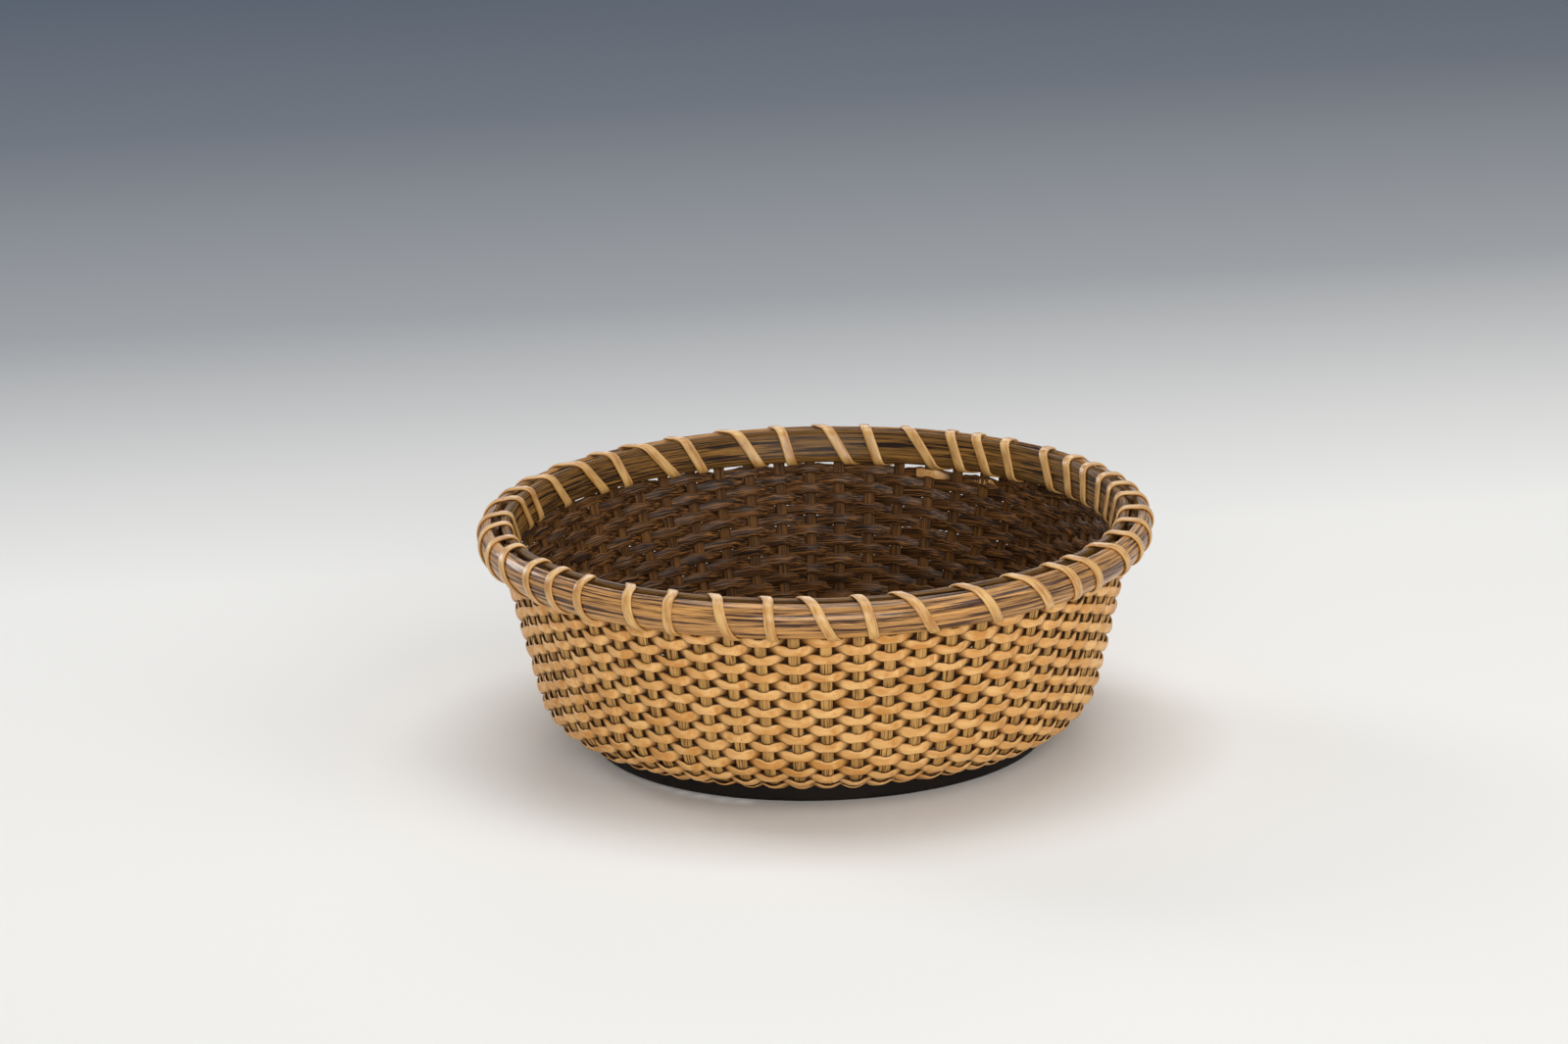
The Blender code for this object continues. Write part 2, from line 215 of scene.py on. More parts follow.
# The section of each kind of strip: its sides, its edge share, and the powers of its edges, outer
# face and inner face. The edge share is where its widest line lies, from 0 at the inner face to 1
# at the outer one. Small powers make it square, and 1 makes it round.
STAVE_SECTION = (14, 0.5, 0.75, 0.6, 0.6)
CANE_SECTION = (12, 0.48, 0.56, 0.42, 0.4)
OUTER_HOOP_EDGE_SHARE = 0.14
OUTER_HOOP_SECTION = (40, OUTER_HOOP_EDGE_SHARE, 1, 1, 0.4)
INNER_HOOP_SECTION = (32, 0.4, 0.5, 0.4, 0.3)
LASHING_SECTION = (14, 0.4, 0.6, 0.7, 0.35)


def wall_frame(run):
    """The wall line's point at a run, its upward direction and its outward direction."""
    if run <= 0:
        return Vector((BEND_START_RADIUS + run, GROOVE_MIDDLE)), Vector((1, 0)), Vector((0, -1))
    turn = min(run, BEND_RUN) / STAVE_BEND_RADIUS
    along = Vector((math.cos(turn), math.sin(turn)))
    out = Vector((math.sin(turn), -math.cos(turn)))
    point = BEND_CENTRE + STAVE_BEND_RADIUS * out
    return point + along * max(0, run - BEND_RUN), along, out


def place(run, out):
    """The (radius, height) of a point beside the wall line."""
    point, _, outward = wall_frame(run)
    return point + outward * out


def spin(point, angle):
    """A (radius, height) point turned about the basket's axis."""
    return Vector((point.x * math.cos(angle), point.x * math.sin(angle), point.y))


def smooth_step(share):
    share = min(1, max(0, share))
    return share * share * (3 - 2 * share)


def blend(values, position):
    """A list's value at a position between its entries."""
    index = min(len(values) - 2, max(0, math.floor(position)))
    share = smooth_step(position - index)
    return values[index] * (1 - share) + values[index + 1] * share


def draws(seed, count, spread):
    """Normal draws that never go past twice their spread."""
    source = random.Random(seed)
    return [max(-2, min(2, source.gauss(0, 1))) * spread for _ in range(count)]


def slow_wave(point, length):
    """A smooth random field, from -1 to 1, that changes over the given length."""
    return noise.noise(point / length)


# Node trees

def connect(tree, node, inputs):
    """Link or set a node's inputs, by name or number."""
    for key, value in inputs.items():
        if isinstance(value, bpy.types.NodeSocket):
            tree.links.new(value, node.inputs[key])
        else:
            node.inputs[key].default_value = value


def add(tree, kind, inputs=None, **settings):
    """A new node, with its settings made before its inputs."""
    node = tree.nodes.new(kind)
    for name, value in settings.items():
        setattr(node, name, value)
    connect(tree, node, inputs or {})
    return node


def compute(tree, operation, *values, kind="ShaderNodeMath"):
    """The result of a Math or Vector Math node."""
    return add(tree, kind, dict(enumerate(values)), operation=operation).outputs[0]


def split(tree, vector):
    return add(tree, "ShaderNodeSeparateXYZ", {0: vector}).outputs


def read_named(tree, name, data_type="FLOAT_VECTOR"):
    node = add(tree, "GeometryNodeInputNamedAttribute", {"Name": name}, data_type=data_type)
    return node.outputs["Attribute"]


def store_vector(tree, geometry, name, value):
    inputs = {"Geometry": geometry, "Name": name, "Value": value}
    return add(tree, "GeometryNodeStoreNamedAttribute", inputs, data_type="FLOAT_VECTOR",
               domain="POINT").outputs["Geometry"]


STRIP_TREE = "Strip along a guide"
SIZE_SOCKETS = ("Width", "Thickness")
SECTION_SOCKETS = ("Sides", "Edge share", "Edge power", "Outer power", "Inner power")


def section_shares(tree, given):
    """A circle pressed out of round: its broad side by the edge power, and its two faces, above
    and below its widest line, by a power each. So one tree makes half-round cane, flat rods and
    both hoops."""
    sideways, height, _ = split(tree, read_named(tree, "section"))
    broad = compute(tree, "POWER", compute(tree, "ABSOLUTE", sideways), given["Edge power"])
    broad = compute(tree, "MULTIPLY", broad, compute(tree, "SIGN", sideways))
    outer = compute(tree, "POWER", compute(tree, "MAXIMUM", height, 0), given["Outer power"])
    inner = compute(tree, "MULTIPLY", height, -1)
    inner = compute(tree, "POWER", compute(tree, "MAXIMUM", inner, 0), given["Inner power"])
    edge = given["Edge share"]
    crown = compute(tree, "MULTIPLY_ADD", outer, compute(tree, "SUBTRACT", 1, edge), edge)
    crown = compute(tree, "SUBTRACT", crown, compute(tree, "MULTIPLY", inner, edge))
    return broad, compute(tree, "SUBTRACT", crown, 0.5)


def strip_tree():
    """Geometry Nodes that lay a crowned section along guides whose points carry their own frames."""
    tree = bpy.data.node_groups.new(STRIP_TREE, "GeometryNodeTree")
    kinds = {"Guide": "Geometry", "Sides": "Int", "Finish": "Material"}
    for name in ("Guide", *SIZE_SOCKETS, *SECTION_SOCKETS, "Finish"):
        kind = "NodeSocket" + kinds.get(name, "Float")
        tree.interface.new_socket(name, in_out="INPUT", socket_type=kind)
    tree.interface.new_socket("Strip", in_out="OUTPUT", socket_type="NodeSocketGeometry")
    given = add(tree, "NodeGroupInput").outputs

    position = add(tree, "GeometryNodeInputPosition").outputs[0]
    guide = add(tree, "GeometryNodeMeshToCurve", {"Mesh": given["Guide"]}).outputs[0]
    guide = store_vector(tree, guide, "centre", position)
    ring = add(tree, "GeometryNodeCurvePrimitiveCircle", {"Resolution": given["Sides"], "Radius": 1})
    ring = store_vector(tree, ring.outputs[0], "section", position)
    swept = {"Curve": guide, "Profile Curve": ring, "Fill Caps": True}
    mesh = add(tree, "GeometryNodeCurveToMesh", swept).outputs[0]

    shares = section_shares(tree, given)
    half_width = compute(tree, "MULTIPLY", given["Width"], 0.5)
    half_width = compute(tree, "MULTIPLY", half_width, read_named(tree, "broad", "FLOAT"))
    depth = compute(tree, "MULTIPLY", given["Thickness"], read_named(tree, "thick", "FLOAT"))
    place_at = read_named(tree, "centre")
    for direction, share, size in zip(("across", "facing"), shares, (half_width, depth)):
        place_at = compute(tree, "MULTIPLY_ADD", read_named(tree, direction),
                           compute(tree, "MULTIPLY", share, size), place_at,
                           kind="ShaderNodeVectorMath")

    mesh = add(tree, "GeometryNodeSetPosition", {"Geometry": mesh, "Position": place_at}).outputs[0]
    mesh = add(tree, "GeometryNodeSetShadeSmooth", {"Geometry": mesh}).outputs[0]
    mesh = add(tree, "GeometryNodeRealizeInstances", {"Geometry": mesh}).outputs[0]
    finish = {"Geometry": mesh, "Material": given["Finish"]}
    mesh = add(tree, "GeometryNodeSetMaterial", finish).outputs[0]
    add(tree, "NodeGroupOutput", {"Strip": mesh})
    return tree


def new_object(name, data):
    """An object with the given data, in the scene."""
    made = bpy.data.objects.new(name, data)
    bpy.context.scene.collection.objects.link(made)
    return made


def guide_mesh(name, strands, closed):
    """Points and edges for the strip tree, one chain for each strand of stations."""
    stations = [station for strand in strands for station in strand]
    edges = []
    first = 0
    for strand in strands:
        last = first + len(strand) - 1
        edges += [(index, index + 1) for index in range(first, last)]
        if closed:
            edges.append((last, first))
        first = last + 1
    mesh = bpy.data.meshes.new(name)
    mesh.from_pydata([station.centre for station in stations], edges, [])
    for field in ("across", "facing"):
        layer = mesh.attributes.new(field, "FLOAT_VECTOR", "POINT")
        values = [part for station in stations for part in getattr(station, field)]
        layer.data.foreach_set("vector", values)
    for field in ("broad", "thick", "along", "strand", "depth"):
        layer = mesh.attributes.new(field, "FLOAT", "POINT")
        layer.data.foreach_set("value", [getattr(station, field) for station in stations])
    return mesh


def lay_strips(name, strands, size, section, material, closed=False):
    """Strips of one size and section along strands of stations, as one plain mesh object."""
    piece = new_object(name, guide_mesh(name, strands, closed))
    modifier = piece.modifiers.new("Strip", "NODES")
    modifier.node_group = bpy.data.node_groups.get(STRIP_TREE) or strip_tree()
    values = dict(zip(SIZE_SOCKETS + SECTION_SOCKETS, size + section), Finish=material)
    for socket in modifier.node_group.interface.items_tree:
        if socket.in_out == "INPUT" and socket.name in values:
            modifier[socket.identifier] = values[socket.name]
    return settled(piece)


def settled(piece):
    """The piece with its modifiers' result as its own mesh, its faces pointing outwards."""
    bpy.context.view_layer.update()
    evaluated = piece.evaluated_get(bpy.context.evaluated_depsgraph_get())
    mesh = bpy.data.meshes.new_from_object(evaluated)
    mesh.name = piece.name
    piece.modifiers.clear()
    old = piece.data
    piece.data = mesh
    bpy.data.meshes.remove(old)
    for spent in ("centre", "across", "facing", "broad", "thick"):
        layer = mesh.attributes.get(spent)
        if layer:
            mesh.attributes.remove(layer)
    turned = bmesh.new()
    turned.from_mesh(mesh)
    bmesh.ops.recalc_face_normals(turned, faces=turned.faces)
    turned.to_mesh(mesh)
    turned.free()
    return piece


def hand_over(piece, slot, *nodes):
    """Fix a piece to the basket's one body, in place of its solids."""
    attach(piece, "root")
    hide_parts(*nodes)


def scene_name(operator):
    """What the scene calls an operator's settings."""
    return operator.bl_idname.replace(".", "_")


class PieceMaker:
    """What the operators share: each makes its pieces from its own settings in the scene."""
    bl_options = {"REGISTER", "UNDO"}

    def execute(self, context):
        self.make(getattr(context.scene, scene_name(type(self))))
        return {"FINISHED"}


# Staves

# Steps round a stave's bend, and again up the rest of it
STAVE_STEPS = 10


def stave_angle(index):
    """Stave 0 is the one nearest the front, and they count round anticlockwise from above.

    They were set by eye, so those at the back stand a little further round than even steps.
    """
    even = index * STAVE_STEP
    return -math.pi / 2 + FRONT_STAVE_ANGLE + even + STAVE_DRIFT * (1 - math.cos(even)) / 2


# How far each stave stands to one side of its place, at the middle of the wall
STAVE_SHIFTS = draws(STAVE_SEED, STAVE_COUNT, STAVE_SHIFT_SPREAD)


def set_stave_angle(index):
    """Where a stave really stands."""
    return stave_angle(index) + STAVE_SHIFTS[index % STAVE_COUNT] / place(RIM_RUN / 2, 0).x


def stave_runs():
    """The places along a stave, closer together round its bend."""
    rise = RIM_RUN + OUTER_HOOP_HEIGHT / 2 - STAVE_TOP_DROP - BEND_RUN
    bend = [BEND_RUN * step / STAVE_STEPS for step in range(STAVE_STEPS + 1)]
    wall = [BEND_RUN + rise * step / STAVE_STEPS for step in range(1, STAVE_STEPS + 1)]
    return [-GROOVE_DEPTH, -GROOVE_DEPTH / 2] + bend + wall


def stave_strand(index, turn):
    angle = set_stave_angle(index)
    side = Vector((-math.sin(angle), math.cos(angle), 0))
    strand = []
    for run in stave_runs():
        point, _, outward = wall_frame(run)
        facing = spin(outward, angle)
        share = smooth_step(run / BEND_RUN)
        across = side * math.cos(turn * share) + facing * math.sin(turn * share)
        facing = facing * math.cos(turn * share) - side * math.sin(turn * share)
        strand.append(Station(spin(point, angle), across, facing, 1, 1, run, index))
    return strand


class BASKET_OT_staves(PieceMaker, bpy.types.Operator):
    """Set the staves in the base's groove and bend them up to the rim"""
    bl_idname = "basket.staves"
    bl_label = "Staves"

    def make(self, settings):
        turns = draws(STAVE_SEED + 1, STAVE_COUNT, STAVE_TURN_SPREAD)
        strands = [stave_strand(index, turn) for index, turn in enumerate(turns)]
        size = (settings.width, settings.thickness)
        piece = lay_strips("staves", strands, size, STAVE_SECTION, stave_material(settings))
        nodes = [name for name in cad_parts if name.startswith("stave_")]
        hand_over(piece, "stave_rod", *nodes)


# Weave

# The top row's middle lies this far below the middle of the outer hoop
TOP_ROW_DROP = 0.00500
PLATEAU_SHARE = 0.08
STRAIGHT_SHARE = 0.45
STATIONS_PER_PASS = 12
SPARE_DRAWS = 8

# How far before and after a station, in passes, its direction is read
LOOK_STEP = 0.04

# Beyond this share of its swing it narrows to its width over a stave
FLAT_SWING_SHARE = 0.75

# The waves of its rows die away over this many rows at the top and the bottom, where its random
# rises still keep this share
CALM_ROWS = 3
LEAST_RISE_SHARE = 0.4

# Pressed down by the next row, it lies a little lower outside the staves than inside them
CANE_DIP = 0.00020

# The cane starts off flat and thin, and fills out between these turns
START_WIDTH_SHARE = 1.12
START_THICKNESS_SHARE = 0.7
START_FULL_TURNS = (1.6, 2.8)

# Its soft side spreads by this share inside a stave, in full before it is quite there
INSIDE_SPREAD_SHARE = 0.18
INSIDE_SPREAD_SLOPE = 1.5

# Its first turn is beaten down on the base by this share of a row, which it loses again over the
# shares of a turn at either end, and each later turn by this share of what the one below has
BEATEN_SHARE = 0.6
BEATEN_ENDS = (0.75, 0.15)

# Where the cane's lengths overlap, as (stave, rows below the top one), from the bottom up
SPLICES = ((-20, 16), (12, 14), (31, 10), (-3, 7), (1, 4), (-4, 2))
SPLICE_REACH = 0.8
SPLICE_LIFT = 0.0003
SPLICE_THIN_SHARE = 0.65

# The last length but one ends in the top row, inside the basket and with its smooth side inwards
TAIL_STAVE = 26
TAIL_REACH = 3.4
TAIL_WIDTH_SHARE = 0.8

FIRST_ROW_RUN = SOLID_CANE_WIDTH / 2
TOP_ROW_RUN = RIM_RUN - TOP_ROW_DROP
ROW_PITCH = (TOP_ROW_RUN - FIRST_ROW_RUN) * STAVE_COUNT / WEAVE_PASSES
END_STAVE = round((WEAVE_END_ANGLE - stave_angle(0)) / STAVE_STEP)


def weave_index(position):
    """The stave number that belongs to a pass, whole or between two."""
    return END_STAVE - WEAVE_PASSES + position


def stepped_turns(turns):
    """Turns before the end, as level rows that step up as they pass the end's angle."""
    row = round(turns)
    spread = STEP_UP_BEFORE_SHARE + STEP_UP_AFTER_SHARE
    rise = smooth_step((turns - row + STEP_UP_BEFORE_SHARE) / spread)
    return row + rise * (TAIL_RISE_SHARE if row == 0 else 1)


def beaten_down(position):
    """How far a turn lies below a steady spiral, in rows."""
    turns = position / STAVE_COUNT
    whole = math.floor(turns)
    settling, climbing = BEATEN_ENDS
    settled = smooth_step((turns - whole) / settling) * smooth_step((whole + 1 - turns) / climbing)
    return settled * BEATEN_SHARE ** (whole + 1)


def weave_run(position):
    """The cane's middle at a pass: a steady spiral lower down, and level rows towards the top."""
    turns = (position - WEAVE_PASSES) / STAVE_COUNT
    level = smooth_step(1 + turns / LEVEL_ROWS)
    turns += (stepped_turns(turns) - turns) * level
    return TOP_ROW_RUN + ROW_PITCH * (turns - beaten_down(position))


class WeaveDraws:
    """The random part of every pass, drawn once in a fixed order."""
    def __init__(self):
        count = WEAVE_PASSES + SPARE_DRAWS
        self.rise = draws(CANE_SEED, count, CANE_RISE_SPREAD)
        self.tilt = draws(CANE_SEED + 1, count, CANE_TILT_SPREAD)
        self.width = draws(CANE_SEED + 2, count, CANE_WIDTH_SPREAD_SHARE)
        self.swing = draws(CANE_SEED + 3, count, CANE_SWING_SPREAD_SHARE)
        self.staves = [set_stave_angle(index) - stave_angle(index)
                       for index in range(STAVE_COUNT + 1)]


def weave_height(position, drawn):
    """The run of the cane's middle, with the slow waves of its rows, which die away at the top."""
    run = weave_run(position)
    angle = stave_angle(weave_index(position))
    wave = slow_wave(spin(place(run, 0), angle) + Vector((1, 1, 1)), ROW_WAVE_LENGTH)
    reach = CALM_ROWS * ROW_PITCH
    calm = min(1, run / reach) * smooth_step((TOP_ROW_RUN - run) / reach)
    rise = blend(drawn.rise, position + 1) * max(calm, LEAST_RISE_SHARE)
    return run - CANE_DIP * swing_share(position) + wave * ROW_WAVE_HEIGHT * calm + rise


def swing_share(position):
    """How far out the cane is: 1 outside a stave, -1 inside the next.

    It lies flat against the face of each stave, and then goes nearly straight to the other side.
    """
    stave = round(position)
    aside = max(0, abs(position - stave) - PLATEAU_SHARE) / (1 - 2 * PLATEAU_SHARE)
    height = (1 - STRAIGHT_SHARE) * math.cos(math.pi * aside) + STRAIGHT_SHARE * (1 - 2 * aside)
    return height if stave % 2 else -height


def weave_centre(position, drawn, settings, lift=0):
    """The middle of the cane at a pass, which swings from side to side of the wall line."""
    index = weave_index(position)
    angle = stave_angle(index) + blend(drawn.staves, index % STAVE_COUNT)
    reach = settings.swing * (1 + blend(drawn.swing, position + 1))
    return spin(place(weave_height(position, drawn), swing_share(position) * reach + lift), angle)


def started_share(position):
    """How far the cane has filled out since its start."""
    thin_until, full_from = START_FULL_TURNS
    return smooth_step((position / STAVE_COUNT - thin_until) / (full_from - thin_until))


def cane_breadth(position, drawn, settings, tail):
    """How broad the cane is at a pass, as a share of its width over a stave."""
    swing = swing_share(position)
    started = started_share(position)
    flat = smooth_step((abs(swing) - FLAT_SWING_SHARE) / (1 - FLAT_SWING_SHARE))
    broad = settings.crossing + (1 - settings.crossing) * flat
    broad *= 1 + blend(drawn.width, position + 1)
    broad *= 1 - (1 - TAIL_WIDTH_SHARE) * tail
    broad *= START_WIDTH_SHARE + (1 - START_WIDTH_SHARE) * started
    return broad * (1 + INSIDE_SPREAD_SHARE * started * smooth_step(-INSIDE_SPREAD_SLOPE * swing))


def cane_station(position, drawn, settings, strand, lift, thin, tail):
    centre = weave_centre(position, drawn, settings, lift)
    ahead = weave_centre(position + LOOK_STEP, drawn, settings, lift)
    behind = weave_centre(position - LOOK_STEP, drawn, settings, lift)
    forward = (ahead - behind).normalized()
    angle = stave_angle(weave_index(position))
    point, along, outward = wall_frame(weave_height(position, drawn))
    facing = forward.cross(spin(along, angle)).normalized()
    if facing.dot(spin(outward, angle)) < 0:
        facing.negate()
    up = facing.cross(forward)
    up *= math.copysign(1, up.dot(spin(along, angle)))
    turned = Quaternion(forward, blend(drawn.tilt, position + 1) + math.pi * tail)
    thin *= START_THICKNESS_SHARE + (1 - START_THICKNESS_SHARE) * started_share(position)
    return Station(centre, turned @ up, turned @ facing,
                   cane_breadth(position, drawn, settings, tail), thin,
                   position * STAVE_STEP * point.x, strand, swing_share(position) * (1 - 2 * tail))


def splice_pass(stave, rows_down):
    """The pass in which the cane goes by a stave, some rows below the last turn."""
    return WEAVE_PASSES - STAVE_COUNT * rows_down - (weave_index(WEAVE_PASSES) - stave) % STAVE_COUNT


def splice_share(distance):
    """How far a length is spliced at a distance from its end: wholly over half of its reach."""
    return smooth_step(1.5 - distance / SPLICE_REACH)


def cane_length(start, end, drawn, settings, strand, tail_end):
    """One length of cane, thinned where it lies on the next one or under the last."""
    steps = round((end - start) * STATIONS_PER_PASS)
    stations = []
    for step in range(steps + 1):
        position = start + (end - start) * step / steps
        under = splice_share(position - start) if start > 0 else 0
        over = splice_share(end - position) if end < WEAVE_PASSES else 0
        tail = smooth_step((TAIL_REACH - (end - position)) / SPLICE_REACH) if tail_end else 0
        lift = SPLICE_LIFT * (over * (1 - 2 * tail) - under)
        thin = 1 - (1 - SPLICE_THIN_SHARE) * max(under, over)
        stations.append(cane_station(position, drawn, settings, strand, lift, thin, tail))
    return stations


class BASKET_OT_weave(PieceMaker, bpy.types.Operator):
    """Weave the cane over and under the staves, in lengths that are spliced end to end"""
    bl_idname = "basket.weave"
    bl_label = "Weave"

    def make(self, settings):
        size = (settings.width, settings.thickness)
        drawn = WeaveDraws()
        material = cane_material(settings)
        splices = sorted(splice_pass(*splice) for splice in SPLICES)
        tail_pass = splice_pass(TAIL_STAVE, 0)
        ends = (0, *splices, tail_pass, WEAVE_PASSES)
        for number, (start, end) in enumerate(zip(ends, ends[1:])):
            first = max(0, start - (TAIL_REACH if start == tail_pass else SPLICE_REACH))
            last = end + (SPLICE_REACH if end in splices else SPLICE_REACH / 2)
            strand = cane_length(first, last, drawn, settings, number, end == tail_pass)
            piece = lay_strips(f"woven_cane_{number + 1}", [strand], size, CANE_SECTION, material)
            hand_over(piece, "weaving_cane", "woven_cane")


# Hoops

HOOP_STATIONS = 300

# How far above the rim's middle the inner hoop's middle lies, where both hoops' tops are level
LEAN_RISE = (HOOP_SEAT + INNER_HOOP_THICKNESS) * math.sin(WALL_LEAN)
INNER_HOOP_MIDDLE = (OUTER_HOOP_HEIGHT / 2 - LEAN_RISE) / math.cos(WALL_LEAN) - INNER_HOOP_HEIGHT / 2

# The same for the lower edge of both hoops
HOOP_FOOT = min(-OUTER_HOOP_HEIGHT / 2, INNER_HOOP_MIDDLE - INNER_HOOP_HEIGHT / 2)


def rim_point(up, out):
    """A point by the rim, measured from the middle of the outer hoop's flat side."""
    return place(RIM_RUN + up, out)


def hoop_strand(up, out, side, strand):
    """Stations right round the rim, facing outwards or inwards."""
    stations = []
    _, along, outward = wall_frame(RIM_RUN)
    for step in range(HOOP_STATIONS):
        angle = 2 * math.pi * step / HOOP_STATIONS
        centre = spin(rim_point(up, out), angle)
        wave = slow_wave(centre + Vector((strand, 0, 0)), HOOP_WAVE_LENGTH)
        size = 1 + wave * HOOP_WAVE_SHARE / 2
        travelled = angle * rim_point(up, out).x
        facing = spin(outward, angle) * side
        stations.append(Station(centre, spin(along, angle), facing, size, size, travelled, strand))
    return stations


class BASKET_OT_hoops(PieceMaker, bpy.types.Operator):
    """Fit the half-round outer hoop and the flat inner hoop on both sides of the staves"""
    bl_idname = "basket.hoops"
    bl_label = "Hoops"

    def make(self, settings):
        strand = hoop_strand(0, HOOP_SEAT + OUTER_HOOP_DEPTH / 2, side=1, strand=1)
        finish = hoop_material("outer_hoop_finish", settings.outer_light, settings.outer_dark,
                               fineness=1, coat=0.6)
        piece = lay_strips("outer_hoop_rod", [strand], (OUTER_HOOP_HEIGHT, OUTER_HOOP_DEPTH),
                           OUTER_HOOP_SECTION, finish, closed=True)
        hand_over(piece, "outer_hoop_rod", "outer_hoop")
        inside = -HOOP_SEAT - INNER_HOOP_THICKNESS / 2
        strand = hoop_strand(INNER_HOOP_MIDDLE, inside, side=-1, strand=2)
        finish = hoop_material("inner_hoop_finish", settings.inner_light, settings.inner_dark,
                               fineness=1.7, coat=0.12)
        piece = lay_strips("inner_hoop_rod", [strand], (INNER_HOOP_HEIGHT, INNER_HOOP_THICKNESS),
                           INNER_HOOP_SECTION, finish, closed=True)
        hand_over(piece, "inner_hoop_strip", "inner_hoop")


# Lashing

# Where each turn crosses the rim's top, as a share of its way from one gap to the next
CREST_SHARES = (0.85, 0.95, 0.95, 0.7, 0.75, 0.55, 0.5, 0.55, 0.95, 0.75, 0.8, 0.7, 0.55, 0.5, 0.35,
                0.4, 0.3, 0.15, 0.1, 0.05, 0.35, 0.65, 0.7, 0.85, 0.65, 0.8, 0.5, 0.55, 0.4, 0.4,
                0.25, 0.05, 0.05, 0.3, 0.05, 0.45, 0.4, 0.35, 0.6, 0.65, 0.9, 0.95, 0.6)
LASHING_STATIONS = 36
LASHING_PLAY = 0.00002
DOME_STEPS = 14
CORNER_CUTS = 2
LASHING_STRAND = 5


def lashing_gaps():
    """The gaps between staves that the lashing goes through, and the first one again at its end."""
    last = LASHING_START_GAP + STAVE_COUNT
    gaps = [gap for gap in range(LASHING_START_GAP, last) if gap % STAVE_COUNT not in PASSED_GAPS]
    return gaps + [last]


def gap_angle(gap):
    return (set_stave_angle(gap) + set_stave_angle(gap + 1)) / 2


def lashing_outline(thickness):
    """One turn of lashing in the wall's own (up, out) plane, from below the hoops up the inside,
    over the top and down the outside, with its corners cut round."""
    seat = thickness / 2 + LASHING_PLAY
    top = INNER_HOOP_MIDDLE + INNER_HOOP_HEIGHT / 2 + seat
    foot = HOOP_FOOT - seat
    back = -HOOP_SEAT - INNER_HOOP_THICKNESS - seat
    corners = ((foot, 0), (foot, back / 2), (foot, back), (0, back), (top, back))
    points = [Vector(corner) for corner in corners]
    half = OUTER_HOOP_HEIGHT / 2
    depth = OUTER_HOOP_DEPTH * (1 - OUTER_HOOP_EDGE_SHARE)
    widest = HOOP_SEAT + OUTER_HOOP_DEPTH * OUTER_HOOP_EDGE_SHARE
    for index in range(DOME_STEPS + 1):
        turn = math.pi / 2 - math.pi * index / DOME_STEPS
        surface = Vector((half * math.sin(turn), widest + depth * math.cos(turn)))
        outward = Vector((math.sin(turn) / half, math.cos(turn) / depth)).normalized()
        points.append(surface + outward * seat)
    points.append(Vector((foot, HOOP_SEAT / 2)))
    for _ in range(CORNER_CUTS):
        points = cut_corners(points)
    return points


def sides(points):
    """The sides of a closed outline, from point to point."""
    return list(zip(points, points[1:] + points[:1]))


def cut_corners(points):
    """Each corner of a closed outline replaced by two points a quarter along its sides."""
    return [start.lerp(end, share) for start, end in sides(points) for share in (0.25, 0.75)]


def even_stations(points, count):
    """A closed outline's points at even distances, and how long it is."""
    lengths = [(end - start).length for start, end in sides(points)]
    whole = sum(lengths)
    found = []
    travelled = 0
    index = 0
    for step in range(count):
        wanted = whole * step / count
        while travelled + lengths[index] < wanted:
            travelled += lengths[index]
            index += 1
        start, end = sides(points)[index]
        found.append(start.lerp(end, (wanted - travelled) / lengths[index]))
    return found, whole


def lashing_places(outline):
    """Every station's (up, out, angle), turn after turn."""
    crest = max(range(len(outline)), key=lambda index: outline[index].x - abs(outline[index].y))
    gaps = lashing_gaps()
    shifts = draws(LASHING_SEED, len(gaps), LASHING_SHIFT_SPREAD / RIM_MIDDLE.x)
    feet = [gap_angle(gap) + shift for gap, shift in zip(gaps, shifts)]
    places = []
    for turn, (here, following) in enumerate(zip(feet, feet[1:])):
        top = here + (following - here) * CREST_SHARES[turn % len(CREST_SHARES)]
        for step, (up, out) in enumerate(outline):
            if step < crest:
                angle = here + (top - here) * step / crest
            else:
                angle = top + (following - top) * (step - crest) / (LASHING_STATIONS - crest)
            places.append((up, out, angle))
    return places


def lashing_stations(settings):
    outline, whole = even_stations(lashing_outline(settings.thickness), LASHING_STATIONS)
    places = lashing_places(outline)
    angles = [angle for _, _, angle in places]
    smoothed = [(before + 2 * here + after) / 4
                for before, here, after in zip(angles[:1] + angles, angles, angles[1:] + angles[-1:])]
    centres = [spin(rim_point(up, out), angle) for (up, out, _), angle in zip(places, smoothed)]
    stations = []
    _, along, outward = wall_frame(RIM_RUN)
    for index, centre in enumerate(centres):
        ahead = centres[min(index + 1, len(centres) - 1)]
        behind = centres[max(index - 1, 0)]
        forward = (ahead - behind).normalized()
        before = outline[(index - 1) % LASHING_STATIONS]
        after = outline[(index + 1) % LASHING_STATIONS]
        step = (after - before).normalized()
        facing = spin(along, smoothed[index]) * step.y - spin(outward, smoothed[index]) * step.x
        across = forward.cross(facing).normalized()
        travelled = whole * index / LASHING_STATIONS
        facing = across.cross(forward)
        stations.append(Station(centre, across, facing, 1, 1, travelled, LASHING_STRAND))
    return stations


class BASKET_OT_lashing(PieceMaker, bpy.types.Operator):
    """Wind the binding cane round both hoops, through the gaps between the staves"""
    bl_idname = "basket.lashing"
    bl_label = "Lashing"

    def make(self, settings):
        strand = lashing_stations(settings)
        size = (settings.width, settings.thickness)
        piece = lay_strips("lashing", [strand], size, LASHING_SECTION, lashing_material(settings))
        hand_over(piece, "lashing_cane", "rim_lashing")


# Base

